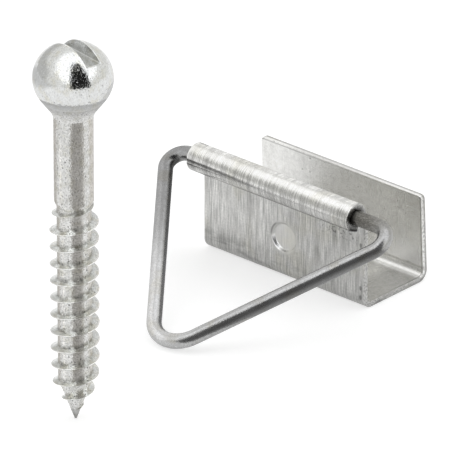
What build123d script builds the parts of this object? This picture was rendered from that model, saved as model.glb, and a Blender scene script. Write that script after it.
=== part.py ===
"""Window screen latch: a folded channel clip, the wire bail that swings in its rolled knuckle,
and the ball-headed screw the bail is hooked behind.

Sizes are in millimetres. The origin is the middle of the clip's underside, X runs along the
channel, -Y is the side the knuckle and the bail are on, and +Z is up."""

import math
import os

from build123d import *

# Sheet the clip is folded from
SHEET = 0.55
CLIP_LENGTH = 20.2
BEND_INSIDE = 0.55

# Channel that grips the screen frame
RAIL_WIDTH = 7.94
RAIL_CLEARANCE = 0.06
REAR_HEIGHT = 8.95
REAR_LEAN = 0.45
REAR_CORNER = 0.45

# Knuckle rolled round the wire
WIRE_RADIUS = 0.73
KNUCKLE_CLEARANCE = 0.10
KNUCKLE_OVERHANG = 1.15
KNUCKLE_HEIGHT = 10.05
KNUCKLE_ARC_END = 250.0
KNUCKLE_LIP = 0.65
JOGGLE_ANGLE = 12.0
JOGGLE_RADIUS = 1.5

# Round grip dimple in the middle of the front wall
DIMPLE_RADIUS = 1.55
DIMPLE_DEPTH = 0.35
DIMPLE_DRAFT = 0.2
DIMPLE_HEIGHT = 4.3
DIMPLE_EDGE = 0.1

# Bail: how far the sharp corners of its triangle lie past the clip's ends and out from the knuckle
BAIL_LEFT = 3.68
BAIL_RIGHT = 6.0
BAIL_APEX_SHIFT = 1.47
BAIL_DEPTH = 21.63
BAIL_LEFT_BEND = 1.53
BAIL_APEX_BEND = 3.06
BAIL_RIGHT_BEND = 1.75
BAIL_ENDS_GAP = 2.4

# Ball-headed wood screw, standing on its point in front of the clip
SCREW_ALONG = 5.25
SCREW_OUT = 34.5
SCREW_LENGTH = 37.7
BALL_RADIUS = 3.7
BALL_HALF_HEIGHT = 3.4
NECK_ANGLE = 36.0
NECK_LENGTH = 1.55
NECK_FILLET = 1.6
SHANK_RADIUS = 1.83
SHANK_LENGTH = 9.15
CORE_RADIUS = 1.6
POINT_LENGTH = 4.1
TIP_RADIUS = 0.1
SLOT_WIDTH = 1.6
SLOT_DEPTH = 1.3
SLOT_TURN = -10.0
SLOT_OFF_CENTRE = 0.25

# Sizes that follow from the ones above
CLIP_WIDTH = RAIL_WIDTH + RAIL_CLEARANCE + 2 * SHEET
FRONT_FACE = -CLIP_WIDTH / 2
KNUCKLE_INSIDE = WIRE_RADIUS + KNUCKLE_CLEARANCE
KNUCKLE_MIDDLE = KNUCKLE_INSIDE + SHEET / 2
KNUCKLE_Y = FRONT_FACE - KNUCKLE_OVERHANG
BEND_MIDDLE = BEND_INSIDE + SHEET / 2
BALL_CENTRE = SCREW_LENGTH - BALL_HALF_HEIGHT
NECK_RADIUS = BALL_RADIUS * math.cos(math.radians(NECK_ANGLE))
NECK_TOP = BALL_CENTRE - BALL_HALF_HEIGHT * math.sin(math.radians(NECK_ANGLE))
NECK_BOTTOM = NECK_TOP - NECK_LENGTH
SHANK_BOTTOM = NECK_BOTTOM - SHANK_LENGTH


def clip_strip():
    """Middle line of the folded sheet, from the rear wall's free edge to the knuckle's lip."""
    front = FRONT_FACE + SHEET / 2
    rear = -front
    lean = math.radians(JOGGLE_ANGLE)
    curl_y = KNUCKLE_Y + KNUCKLE_MIDDLE * math.cos(lean)
    curl_z = KNUCKLE_HEIGHT + KNUCKLE_MIDDLE * math.sin(lean)
    joggle_z = curl_z - (front - curl_y) / math.tan(lean)
    folded = FilletPolyline(
        (rear - REAR_LEAN, REAR_HEIGHT),
        (rear, SHEET / 2),
        (front, SHEET / 2),
        (front, joggle_z),
        (curl_y, curl_z),
        radius=(BEND_MIDDLE, BEND_MIDDLE, JOGGLE_RADIUS),
    )
    curl = JernArc(
        (curl_y, curl_z),
        (-math.sin(lean), math.cos(lean)),
        KNUCKLE_MIDDLE,
        KNUCKLE_ARC_END - JOGGLE_ANGLE,
    )
    lip = Line(curl @ 1, (curl @ 1) + (curl % 1) * KNUCKLE_LIP)
    return folded.edges() + curl.edges() + lip.edges()


def channel_clip():
    """Folded clip: rear wall, web, front wall and the knuckle curled over the wire."""
    section = Plane.YZ * trace(clip_strip(), SHEET)
    clip = extrude(section, CLIP_LENGTH / 2, both=True)
    rear_edge = clip.faces().filter_by(lambda face: face.center().Y > 0).sort_by(Axis.Z)[-1]
    corners = rear_edge.edges().sort_by(SortBy.LENGTH)[:2]
    return dimpled(fillet(corners, REAR_CORNER))


def dimpled(clip):
    """Presses the round grip dimple in from the front, so that it stands proud inside."""
    centre = Vector(0, FRONT_FACE, DIMPLE_HEIGHT)
    inward = Plane(origin=centre, x_dir=(1, 0, 0), z_dir=(0, 1, 0))
    start = (Align.CENTER, Align.CENTER, Align.MIN)
    floor_radius = DIMPLE_RADIUS - DIMPLE_DRAFT
    boss = Cone(DIMPLE_RADIUS + DIMPLE_DRAFT, DIMPLE_RADIUS, DIMPLE_DEPTH, align=start)
    boss = fillet(boss.edges().sort_by(Axis.Z)[-1], DIMPLE_EDGE)
    recess = Cone(DIMPLE_RADIUS, floor_radius, DIMPLE_DEPTH, align=start)
    clip = clip + inward * Pos(0, 0, SHEET) * boss - inward * recess
    rings = clip.edges().filter_by(GeomType.CIRCLE)
    mouth = min(rings, key=lambda ring: (ring.arc_center - centre).length)
    return fillet(mouth, DIMPLE_EDGE)


def bail_path():
    """Middle line of the bail's wire, flat, with the knuckle's axis along X."""
    return FilletPolyline(
        (-BAIL_ENDS_GAP / 2, 0),
        (-CLIP_LENGTH / 2 - BAIL_LEFT, 0),
        (BAIL_APEX_SHIFT, BAIL_DEPTH),
        (CLIP_LENGTH / 2 + BAIL_RIGHT, 0),
        (BAIL_ENDS_GAP / 2, 0),
        radius=(BAIL_LEFT_BEND, BAIL_APEX_BEND, BAIL_RIGHT_BEND),
    )


def wire_bail():
    """Triangular bail of round wire, swung down until its far end rests on the floor."""
    path = bail_path()
    arcs = path.edges().filter_by(GeomType.CIRCLE)
    reach = max(arc.arc_center.Y + arc.radius for arc in arcs)
    tilt = math.degrees(math.asin((KNUCKLE_HEIGHT - WIRE_RADIUS) / reach))
    section = Plane(origin=path @ 0, z_dir=path % 0) * Circle(WIRE_RADIUS)
    wire = sweep(section, path=path)
    return Pos(0, KNUCKLE_Y, KNUCKLE_HEIGHT) * Rot(X=180 + tilt) * wire


def ball_screw():
    """Screw with a slotted ball head, a plain shank and a tapered point."""
    stem = Polyline(
        (0, 0),
        (TIP_RADIUS, 0),
        (CORE_RADIUS, POINT_LENGTH),
        (CORE_RADIUS, SHANK_BOTTOM),
        (SHANK_RADIUS, SHANK_BOTTOM + SHANK_RADIUS - CORE_RADIUS),
        (SHANK_RADIUS, NECK_BOTTOM),
        (NECK_RADIUS, NECK_TOP),
        (0, NECK_TOP),
        (0, 0),
    )
    stem = make_face(stem)
    neck = stem.vertices().sort_by_distance((SHANK_RADIUS, NECK_BOTTOM))[0]
    stem = fillet(neck, NECK_FILLET)
    half = Pos(BALL_RADIUS, BALL_CENTRE) * Rectangle(2 * BALL_RADIUS, 2 * BALL_HALF_HEIGHT)
    ball = Pos(0, BALL_CENTRE) * Ellipse(BALL_RADIUS, BALL_HALF_HEIGHT) & half
    screw = revolve(Plane.XZ * (stem + ball), Axis.Z)
    slot = Pos(0, SLOT_OFF_CENTRE, SCREW_LENGTH) * Box(4 * BALL_RADIUS, SLOT_WIDTH, 2 * SLOT_DEPTH)
    return Pos(SCREW_ALONG, FRONT_FACE - SCREW_OUT, 0) * (screw - Rot(Z=SLOT_TURN) * slot)


os.makedirs("parts", exist_ok=True)
export_step(channel_clip(), "parts/channel_clip.step")
export_step(wire_bail(), "parts/wire_bail.step")
export_step(ball_screw(), "parts/ball_screw.step")
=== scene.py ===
"""Looks of the window screen latch: aluminium clip, steel wire bail and zinc plated ball screw.

Shapes are worked out in millimetres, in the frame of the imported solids, and brought to metres
when each piece is finished."""

import math
from types import SimpleNamespace

import bmesh
import bpy
from mathutils import Matrix, Vector


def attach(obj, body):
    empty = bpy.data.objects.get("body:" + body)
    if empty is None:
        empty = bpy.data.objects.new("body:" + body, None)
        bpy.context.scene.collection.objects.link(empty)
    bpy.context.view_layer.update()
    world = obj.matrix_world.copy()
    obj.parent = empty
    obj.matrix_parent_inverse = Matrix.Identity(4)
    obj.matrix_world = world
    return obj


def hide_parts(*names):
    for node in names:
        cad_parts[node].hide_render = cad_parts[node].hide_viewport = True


MM = 0.001

# Clip, as the solids have it
SHEET = 0.55
CLIP_LENGTH = 20.2
CLIP_WIDTH = 9.1
BEND_INSIDE = 0.55
REAR_HEIGHT = 8.95
REAR_LEAN = 0.45
REAR_CORNER = 0.45
CUT_EDGE = 0.05

# Knuckle
WIRE_RADIUS = 0.73
KNUCKLE_INSIDE = 0.83
KNUCKLE_OVERHANG = 1.15
KNUCKLE_HEIGHT = 10.05
KNUCKLE_ARC_END = 250.0
KNUCKLE_LIP = 0.65
JOGGLE_ANGLE = 12.0
JOGGLE_RADIUS = 1.5
CREASE_ANGLE = 178.0
CREASE_DEPTH = 0.07
CREASE_WIDTH = 0.13
# Angles round the knuckle: where its painted highlight starts, where its low side takes painted shade,
# and where painted shade under it starts
KNUCKLE_HIGHLIGHT_ANGLE = 120.0
LOW_SIDE_ANGLE = 143.0
UNDERSIDE_SHADE_ANGLE = 220.0

# Dimple: the recess in front and the boss it raises inside
DIMPLE_HEIGHT = 4.3
DIMPLE_DEPTH = 0.31
RECESS_FLOOR = 1.27
RECESS_MOUTH = 1.58
BOSS_TOP = 1.52
BOSS_FOOT = 1.8
DIMPLE_PATCH = 2.5

# How finely the sheet is cut, and the rings inside and outside the dimple's edges
SHEET_STEP = 0.6
SHEET_TURN_STEP = 3.5
RINGS_INSIDE = (0.25, 0.5, 0.75, 1.0, 1.2, 1.34)
RINGS_OUTSIDE = (2.05, 2.3, DIMPLE_PATCH)
CURL_BLEND = 0.4

# Three pits down the front wall's right edge: how high they lie and how far along
EDGE_PITS = (6.8, 2.36, 1.4)
EDGE_PITS_ALONG = 9.67

# Bail
BAIL_LEFT = 3.68
BAIL_RIGHT = 6.0
BAIL_APEX_SHIFT = 1.47
BAIL_DEPTH = 21.63
BAIL_LEFT_BEND = 1.53
BAIL_APEX_BEND = 3.06
BAIL_RIGHT_BEND = 1.75
BAIL_ENDS_GAP = 2.4

# Screw
SCREW_ALONG = 5.25
SCREW_OUT = 34.5
SCREW_LENGTH = 37.7
BALL_RADIUS = 3.7
BALL_HALF_HEIGHT = 3.4
NECK_ANGLE = 36.0
NECK_LENGTH = 1.55
NECK_FILLET = 1.6
SHANK_RADIUS = 1.83
SHANK_LENGTH = 9.15
CORE_RADIUS = 1.6
POINT_LENGTH = 4.1
TIP_RADIUS = 0.1
SLOT_WIDTH = 1.6
SLOT_DEPTH = 1.3
SLOT_TURN = -10.0
SLOT_OFF_CENTRE = 0.25
SLOT_LIP = 0.07
SHANK_STEP = 0.55
NECK_IN_BALL = 0.7
STEM_BENDS = (1.2, 0.3, 0.25, NECK_FILLET, 0.3)
STEM_SIDES = 96
BALL_SECTIONS = 26
SLOT_SECTIONS = 8
RING_BELOW = 72
RING_ABOVE = 24

# Thread, whose ridge grows from nothing at the tip
THREAD_PITCH = 1.694
THREAD_CREST_RADIUS = 2.26
THREAD_ROOT_WIDTH = 0.4
THREAD_CHAMFER = 0.07
THREAD_TOP = 22.55
THREAD_TOP_TURN = 222.0
THREAD_FOOT = 0.45
THREAD_RUN_IN = 2.6
THREAD_CREST = (-0.05, 0.01)
THREAD_SUNK = 0.04
THREAD_NEAR_TIP = 1.5
THREAD_SIZE_THERE = 0.8
THREAD_FULL = 6.0
THREAD_STEPS = 900

# Camera, fitted to the photograph
CAMERA_AZIMUTH = 42.017
CAMERA_ELEVATION = 25.605
CAMERA_DISTANCE = 854.17
CAMERA_TARGET = (-6.802, -4.55, 2.943)
CAMERA_LENS = 704.35

# Studio: directions in degrees, azimuth from -Y towards +X
FLOOR_HALF = 1500
FLOOR_COLOUR = 0.6
FLOOR_TO_WHITE = 0.6
FLOOR_IN_GLOSS = 0.36
FLOOR_AT_LEFT = 0.08
TENT_COLOUR = (0.75, 0.75, 0.73)
OVERHEAD = (62.0, 60.0, 55.0, 5.0, (1.24, 1.25, 1.26))
TENT_PANELS = (
    (-135.5, 9.0, 12.5, 32.5, 6.0, (1.05, 1.05, 1.05)),
    (-85.0, 45.0, 5.0, 22.0, 14.0, (0.5, 0.5, 0.49)),
    (63.5, 28.5, 35.0, 40.0, 2.5, (0.015, 0.015, 0.015)),
)

# Cards near the metal; a curved one has pairs of an angle from the camera's side and a glow
STEM_CARD_RADIUS = 4.5
STEM_CARD_TINT = (1.0, 0.97, 0.93)
STEM_CARDS = (
    ("grey_card", 30.2, ((14, 0.6), (6, 0.38), (-38, 0.4), (-52, 0.64))),
    ("white_strip", 27.0, ((67.5, 1.4), (63.5, 1.4))),
    ("left_card", 29.0, ((138, 0.59), (96, 0.59))),
    ("right_card", 29.0, ((-84, 0.76), (-136, 0.76))),
)
DARK_BOARD = (320.0, 90.0, ((7, 0.02), (-50, 0.02)))
BALL_SHIELD = (9.0, 10.0, 31.0, ((-100, 0.66), (-178, 0.66)))
WIRE_CARD_RADIUS = 4.0
FAR_LEG_CARD = ((28, 0.16), (18, 0.12), (-22, 0.1), (-46, 0.2), (-80, 0.38), (-150, 0.48))
LEFT_LEG_CARD = ((20, 0.86), (40, 1.24), (70, 1.13), (120, 0.85), (175, 0.64))
LEFT_LEG_SHADE = ((-75, 0.22), (-140, 0.22))
LEFT_CARD_REACH = 1.3
CARD_STEP = 6
NECK_CARD = (30.6, 48, ((1.9, 0.9), (2.4, 0.6), (4.4, 0.44)))
CLIP_CARD = (-36.0, -8.0, -21.0, 7.0, 36.0, 0.97)

# Places that follow
FRONT_FACE = -CLIP_WIDTH / 2
HALF_LENGTH = CLIP_LENGTH / 2
KNUCKLE_Y = FRONT_FACE - KNUCKLE_OVERHANG
KNUCKLE_MIDDLE = KNUCKLE_INSIDE + SHEET / 2
SCREW_PLACE = Vector((SCREW_ALONG, FRONT_FACE - SCREW_OUT, 0))
BALL_CENTRE = SCREW_LENGTH - BALL_HALF_HEIGHT
SLOT_FLOOR = SCREW_LENGTH - SLOT_DEPTH
NECK_RADIUS = BALL_RADIUS * math.cos(math.radians(NECK_ANGLE))
NECK_TOP = BALL_CENTRE - BALL_HALF_HEIGHT * math.sin(math.radians(NECK_ANGLE))
NECK_BOTTOM = NECK_TOP - NECK_LENGTH
SHANK_BOTTOM = NECK_BOTTOM - SHANK_LENGTH


# Lines and arcs that the shapes follow

def smooth(low, high, value):
    """0 below low, 1 above high and a soft step between them."""
    share = min(1.0, max(0.0, (value - low) / (high - low)))
    return share * share * (3 - 2 * share)


def run(start, end):
    """Straight part of a route."""
    start, end = Vector(start), Vector(end)
    length = (end - start).length
    along = (end - start) / length
    return {"length": length, "at": lambda s: (start + along * s, along)}


def turn(centre, radius, start_angle, sweep):
    """Round part of a route; angles in radians, a positive sweep turns to the left."""
    centre = Vector(centre)
    side = math.copysign(1, sweep)

    def at(s):
        angle = start_angle + side * s / radius
        out = Vector((math.cos(angle), math.sin(angle)))
        return centre + out * radius, Vector((-out.y, out.x)) * side

    return {"length": radius * abs(sweep), "at": at, "sweep": abs(sweep)}


def rounded(corners, bends):
    """Runs and turns through the corners, each inner corner rounded to its bend."""
    corners = [Vector(c) for c in corners]
    parts = []
    here = corners[0]
    for before, corner, after, bend in zip(corners, corners[1:], corners[2:], bends):
        inward = (corner - before).normalized()
        onward = (after - corner).normalized()
        angle = inward.angle_signed(onward)
        side = math.copysign(1, -angle)
        reach = bend * math.tan(abs(angle) / 2)
        begin = corner - inward * reach
        centre = begin + Vector((-inward.y, inward.x)) * side * bend
        parts.append(run(here, begin))
        out = begin - centre
        parts.append(turn(centre, bend, math.atan2(out.y, out.x), side * abs(angle)))
        here = corner + onward * reach
    parts.append(run(here, corners[-1]))
    return parts

def length_of(parts):
    """Length of a route or of a stretch of it."""
    return sum(part["length"] for part in parts)


def place(parts, s):
    """Point and direction at a length along a route."""
    for part in parts[:-1]:
        if s <= part["length"]:
            return part["at"](s)
        s -= part["length"]
    return parts[-1]["at"](s)


def stations(parts, run_step, turn_step):
    """Lengths along a route at which it is cut into rows."""
    rows = [0.0]
    start = 0.0
    for part in parts:
        step = turn_step if "sweep" in part else run_step
        size = part["sweep"] if "sweep" in part else part["length"]
        count = max(1, math.ceil(size / step))
        rows += [start + part["length"] * (i + 1) / count for i in range(count)]
        start += part["length"]
    return rows


# Making pieces

def finished(name, mesh, material, body):
    """Brings a mesh from millimetres to metres and makes it a piece that rides on a body."""
    mesh.transform(Matrix.Scale(MM, 4))
    mesh.name = name
    piece = bpy.data.objects.new(name, mesh)
    bpy.context.scene.collection.objects.link(piece)
    if not mesh.materials:
        mesh.materials.append(material)
    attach(piece, body)
    return piece


def grown(mesh, modify):
    """The mesh that results when modify has put its modifiers on an object of it."""
    source = bpy.data.objects.new("source", mesh)
    bpy.context.scene.collection.objects.link(source)
    modify(source)
    graph = bpy.context.evaluated_depsgraph_get()
    result = bpy.data.meshes.new_from_object(source.evaluated_get(graph), depsgraph=graph)
    bpy.data.objects.remove(source)
    return result


def eased(mesh, width, angle):
    """Rounds the sharp edges of a mesh."""
    def modify(source):
        bevel = source.modifiers.new("edges", "BEVEL")
        bevel.width = width
        bevel.segments = 3
        bevel.limit_method = "ANGLE"
        bevel.angle_limit = math.radians(angle)
        bevel.use_clamp_overlap = True
    return grown(mesh, modify)


def shaded(mesh, angle):
    """Smooth shading, broken at edges sharper than the angle."""
    mesh.shade_smooth()
    mesh.set_sharp_from_angle(angle=math.radians(angle))
    return mesh


# Clip

def strip_route():
    """Middle line of the folded sheet in the YZ plane, from the rear edge to the knuckle's lip."""
    front = FRONT_FACE + SHEET / 2
    rear = -front
    lean = math.radians(JOGGLE_ANGLE)
    centre = Vector((KNUCKLE_Y, KNUCKLE_HEIGHT))
    curl = centre + Vector((math.cos(lean), math.sin(lean))) * KNUCKLE_MIDDLE
    joggle = curl.y - (front - curl.x) / math.tan(lean)
    bend = BEND_INSIDE + SHEET / 2
    corners = [
        (rear - REAR_LEAN, REAR_HEIGHT),
        (rear, SHEET / 2),
        (front, SHEET / 2),
        (front, joggle),
        curl,
    ]
    parts = rounded(corners, (bend, bend, JOGGLE_RADIUS))
    sweep = math.radians(KNUCKLE_ARC_END - JOGGLE_ANGLE)
    parts.append(turn(centre, KNUCKLE_MIDDLE, lean, sweep))
    end, along = parts[-1]["at"](parts[-1]["length"])
    parts.append(run(end, end + along * KNUCKLE_LIP))
    return parts

def strip_places(parts):
    """Lengths along the strip at which its walls, its dimple and its knuckle lie."""
    front_foot, _ = parts[4]["at"](0)
    return SimpleNamespace(
        rear_foot=length_of(parts[:1]),
        web_start=length_of(parts[:2]),
        web_end=length_of(parts[:3]),
        dimple=length_of(parts[:4]) + DIMPLE_HEIGHT - front_foot.y,
        curl=length_of(parts[:-2]),
        end=length_of(parts),
    )


def round_knuckle(places, angle):
    """Length along the strip at an angle round the knuckle: 90 is its top, 180 its front."""
    return places.curl + KNUCKLE_MIDDLE * math.radians(angle - JOGGLE_ANGLE)


def dimple_levels():
    """Distances from the dimple's middle at which the sheet is cut into rows and columns."""
    edges = [RECESS_FLOOR + (RECESS_MOUTH - RECESS_FLOOR) * i / 6 for i in range(7)]
    edges += [BOSS_TOP + (BOSS_FOOT - BOSS_TOP) * i / 5 for i in range(6)]
    kept = [0.0]
    for level in sorted((*RINGS_INSIDE, *edges, *RINGS_OUTSIDE)):
        if level - kept[-1] >= 0.03:
            kept.append(level)
    return kept


def cut_lines(plain, middle, levels, ends):
    """Rows or columns: the plain ones, with finer ones round the dimple and at the rounded ends."""
    corner = [REAR_CORNER * i / 4 for i in range(5)]
    fine = [middle + level for level in levels] + [middle - level for level in levels[1:]]
    fine += [end + side * step for end, side in ends for step in corner]
    low, high = middle - levels[-1], middle + levels[-1]
    for value in plain:
        in_patch = low - 0.2 < value < high + 0.2
        in_corner = any(-0.01 < (value - end) * side < REAR_CORNER + 0.1 for end, side in ends)
        if not in_patch and not in_corner:
            fine.append(value)
    return sorted(set(round(value, 6) for value in fine))


def to_rings(x, s):
    """Bends the square patch round the dimple into rings, so that its edges run round."""
    rho = max(abs(x), abs(s))
    if rho < 1e-9 or rho > DIMPLE_PATCH:
        return x, s
    radial = Vector((x, s)).normalized() * rho
    roundness = 1 - smooth(0.76 * DIMPLE_PATCH, DIMPLE_PATCH, rho)
    return x + (radial.x - x) * roundness, s + (radial.y - s) * roundness


def to_corner(x, s):
    """Moves a place near the rear wall's free corners, so that they come out round."""
    a = (abs(x) - HALF_LENGTH) / REAR_CORNER + 1
    b = 1 - s / REAR_CORNER
    if a <= 0 or b <= 0:
        return x, s
    share = max(a, b)
    angle = math.pi / 4 * (b / a if a >= b else 2 - a / b)
    a, b = share * math.cos(angle), share * math.sin(angle)
    return math.copysign(HALF_LENGTH + (a - 1) * REAR_CORNER, x), (1 - b) * REAR_CORNER


def skin_offset(x, s, side, places):
    """How far the sheet's skin lies from its middle line, with the dimple and the crease."""
    distance = math.hypot(x, s - places.dimple)
    if side > 0:
        return SHEET / 2 - DIMPLE_DEPTH * (1 - smooth(RECESS_FLOOR, RECESS_MOUTH, distance))
    fold = math.exp(-((s - round_knuckle(places, CREASE_ANGLE)) / CREASE_WIDTH) ** 2)
    boss = DIMPLE_DEPTH * (1 - smooth(BOSS_TOP, BOSS_FOOT, distance))
    return -SHEET / 2 - boss + CREASE_DEPTH * fold * (1 - smooth(-HALF_LENGTH, 0.5, x))


def skin_faces(wide, long):
    """Faces of two grids of points, one behind the other, and of the rim between them."""
    back = wide * long
    faces = []
    for i in range(long - 1):
        for j in range(wide - 1):
            a = i * wide + j
            faces.append((a, a + 1, a + 1 + wide, a + wide))
            faces.append((back + a, back + a + wide, back + a + 1 + wide, back + a + 1))
    rim = list(range(wide))
    rim += [i * wide + wide - 1 for i in range(1, long)]
    rim += [(long - 1) * wide + j for j in range(wide - 2, -1, -1)]
    rim += [i * wide for i in range(long - 2, 0, -1)]
    for a, b in zip(rim, rim[1:] + rim[:1]):
        faces.append((b, a, back + a, back + b))
    return faces


def clip_mesh():
    """Folded sheet as a closed skin that knows its places on the flat strip and its outside."""
    parts = strip_route()
    places = strip_places(parts)
    levels = dimple_levels()
    rows = stations(parts, SHEET_STEP, math.radians(SHEET_TURN_STEP))
    rows = cut_lines(rows, places.dimple, levels, [(0.0, 1)])
    rows[-1] = places.end
    plain = [-HALF_LENGTH + SHEET_STEP * i for i in range(math.ceil(CLIP_LENGTH / SHEET_STEP))]
    columns = cut_lines(plain + [HALF_LENGTH], 0.0, levels, [(-HALF_LENGTH, 1), (HALF_LENGTH, -1)])
    vertices, flat, sides = [], [], []
    for side in (1, -1):
        for row in rows:
            for column in columns:
                x, s = to_rings(column, row - places.dimple)
                x, s = to_corner(x, s + places.dimple)
                point, way = place(parts, s)
                point = point + Vector((-way.y, way.x)) * skin_offset(x, s, side, places)
                vertices.append((x, point.x, point.y))
                flat.append((x, s))
                rolled = smooth(places.curl - CURL_BLEND, places.curl + CURL_BLEND, s)
                sides.append(1 - rolled if side > 0 else rolled)
    mesh = bpy.data.meshes.new("clip")
    mesh.from_pydata(vertices, [], skin_faces(len(columns), len(rows)))
    layer = mesh.uv_layers.new(name="sheet_place")
    for loop in mesh.loops:
        layer.data[loop.index].uv = flat[loop.vertex_index]
    outside = mesh.attributes.new("outside", "FLOAT", "POINT")
    outside.data.foreach_set("value", sides)
    mesh.validate()
    return mesh


def facing_out(mesh):
    """Turns every face of a closed mesh outwards."""
    work = bmesh.new()
    work.from_mesh(mesh)
    bmesh.ops.remove_doubles(work, verts=work.verts, dist=1e-5)
    bmesh.ops.recalc_face_normals(work, faces=work.faces)
    work.to_mesh(mesh)
    work.free()
    return mesh


def make_clip(material):
    """Channel clip with its knuckle and dimple."""
    mesh = eased(facing_out(clip_mesh()), CUT_EDGE, 55)
    piece = finished("clip_sheet", shaded(mesh, 40), material, "clip")
    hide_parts("channel_clip")


# Node trees

class Value:
    """Output of a node, used like a number; what is worked out with it becomes more nodes."""

    def __init__(self, socket):
        self.socket = socket
        self.tree = socket.id_data

    def calc(self, operation, *others):
        """Result of a Math node that takes this value first."""
        return sums(self.tree, operation, self, *others)

    def __add__(self, other):
        return self.calc("ADD", other)

    def __sub__(self, other):
        return self.calc("SUBTRACT", other)

    def __rsub__(self, other):
        return sums(self.tree, "SUBTRACT", other, self)

    def __mul__(self, other):
        return self.calc("MULTIPLY", other)

    def __truediv__(self, other):
        return self.calc("DIVIDE", other)

    def __rtruediv__(self, other):
        return sums(self.tree, "DIVIDE", other, self)

    __radd__ = __add__
    __rmul__ = __mul__

    def ramp(self, low, high, start=0.0, end=1.0):
        """Soft step from start at low to end at high."""
        made = add(self.tree, "ShaderNodeMapRange", self, low, high, start, end)
        made.interpolation_type = "SMOOTHSTEP"
        return out_of(made)

    def split(self):
        """X, Y and Z of a place."""
        return [Value(socket) for socket in add(self.tree, "ShaderNodeSeparateXYZ", self).outputs]

    def vector(self, operation, *others, result=0, **given):
        """Result of a Vector Math node that takes this place first."""
        made = add(self.tree, "ShaderNodeVectorMath", self, *others, operation=operation)
        return out_of(fill(made, **given), result)

    def through(self, group, **given):
        """Result of a shader group that takes this value first."""
        made = add(self.tree, "ShaderNodeGroup", node_tree=group)
        feed(made.inputs[0], self)
        return out_of(fill(made, **given))


def feed(socket, value):
    """Links a socket to a node's output, or sets its value."""
    if isinstance(value, Value):
        socket.id_data.links.new(value.socket, socket)
    elif value is not None:
        socket.default_value = value


def fill(made, **given):
    """Feeds a node's inputs by name, in which an underscore stands for a space."""
    for label, value in given.items():
        feed(made.inputs[label.replace("_", " ")], value)
    return made


def add(tree, kind, *inputs, **settings):
    """New node with its settings, and with its inputs in the order of its sockets."""
    made = tree.nodes.new(kind)
    for label, value in settings.items():
        setattr(made, label, value)
    sockets = [socket for socket in made.inputs if socket.enabled]
    for socket, value in zip(sockets, inputs):
        feed(socket, value)
    return made


def out_of(made, label=0):
    """One of a node's outputs."""
    return Value(made.outputs[label])


def sums(tree, operation, *inputs):
    """Math node's result."""
    return out_of(add(tree, "ShaderNodeMath", *inputs, operation=operation))


def mixed(tree, share, first, second, **settings):
    """Mix of two colours, which are the Mix node's inputs 6 and 7 and its output 2."""
    made = add(tree, "ShaderNodeMix", share, data_type="RGBA", **settings)
    feed(made.inputs[6], first)
    feed(made.inputs[7], second)
    return out_of(made, 2)


def spot_at(tree, x, y, z):
    """Place made of X, Y and Z."""
    return out_of(add(tree, "ShaderNodeCombineXYZ", x, y, z))


def take_in(tree, sizes):
    """Gives a node group a named input for each size, at its value."""
    kinds = {int: "NodeSocketInt", float: "NodeSocketFloat", tuple: "NodeSocketVector"}
    for label, value in sizes.items():
        socket = tree.interface.new_socket(label, in_out="INPUT", socket_type=kinds[type(value)])
        socket.default_value = value


def given_to(tree):
    """Inputs of a node group, by name."""
    return {socket.name: Value(socket) for socket in tree.nodes.new("NodeGroupInput").outputs}


def geometry_tree(name, sizes):
    """New geometry tree with a named input for each size and a material, and its inputs."""
    tree = bpy.data.node_groups.new(name, "GeometryNodeTree")
    tree.interface.new_socket("Geometry", in_out="INPUT", socket_type="NodeSocketGeometry")
    take_in(tree, sizes)
    tree.interface.new_socket("Material", in_out="INPUT", socket_type="NodeSocketMaterial")
    tree.interface.new_socket("Geometry", in_out="OUTPUT", socket_type="NodeSocketGeometry")
    return tree, given_to(tree)


def grow(mesh, tree, material):
    """Mesh that a geometry tree makes from an object of this mesh."""
    def modify(source):
        modifier = source.modifiers.new(tree.name, "NODES")
        modifier.node_group = tree
        for item in tree.interface.items_tree:
            if item.in_out == "INPUT" and item.socket_type == "NodeSocketMaterial":
                modifier[item.identifier] = material
    return grown(mesh, modify)

def close_tree(tree, geometry, material):
    """Ends a geometry tree in plain geometry with its material."""
    real = out_of(add(tree, "GeometryNodeRealizeInstances", geometry))
    done = out_of(add(tree, "GeometryNodeSetMaterial", real, None, material))
    feed(tree.nodes.new("NodeGroupOutput").inputs[0], done)
    return tree


# Bail

def captured(tree, geometry, **values):
    """Geometry that carries values along with it, and those values further on."""
    keep = tree.nodes.new("GeometryNodeCaptureAttribute")
    for label in values:
        keep.capture_items.new("FLOAT", label)
    for socket, value in zip(keep.inputs, (geometry, *values.values())):
        feed(socket, value)
    return [Value(keep.outputs[i]) for i in range(len(values) + 1)]


def wire_tree():
    """Rounds a polyline's corners to their own bends and draws a round wire along it."""
    sizes = {"Wire radius": WIRE_RADIUS, "Steps in a bend": 20, "Sides": 40}
    tree, given = geometry_tree("bent_wire", sizes)
    bend = out_of(add(tree, "GeometryNodeInputNamedAttribute", "bend", data_type="FLOAT"))
    line = out_of(add(tree, "GeometryNodeMeshToCurve", given["Geometry"]))
    fillet = add(tree, "GeometryNodeFilletCurve", mode="POLY")
    fill(fillet, Curve=line, Count=given["Steps in a bend"], Radius=bend)
    along = out_of(tree.nodes.new("GeometryNodeSplineParameter"), "Length")
    line, along = captured(tree, out_of(fillet), along=along)
    ring = add(tree, "GeometryNodeCurvePrimitiveCircle", mode="RADIUS")
    fill(ring, Resolution=given["Sides"], Radius=given["Wire radius"])
    x, y, _ = out_of(tree.nodes.new("GeometryNodeInputPosition")).split()
    section, x, y = captured(tree, out_of(ring), x=x, y=y)
    wire = tree.nodes.new("GeometryNodeCurveToMesh")
    fill(wire, Curve=line, Profile_Curve=section, Fill_Caps=True)
    store = tree.nodes.new("GeometryNodeStoreNamedAttribute")
    store.data_type = "FLOAT_VECTOR"
    store.domain = "POINT"
    fill(store, Name="wire_place", Geometry=out_of(wire), Value=spot_at(tree, along, x, y))
    return close_tree(tree, out_of(store), given["Material"])


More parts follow.
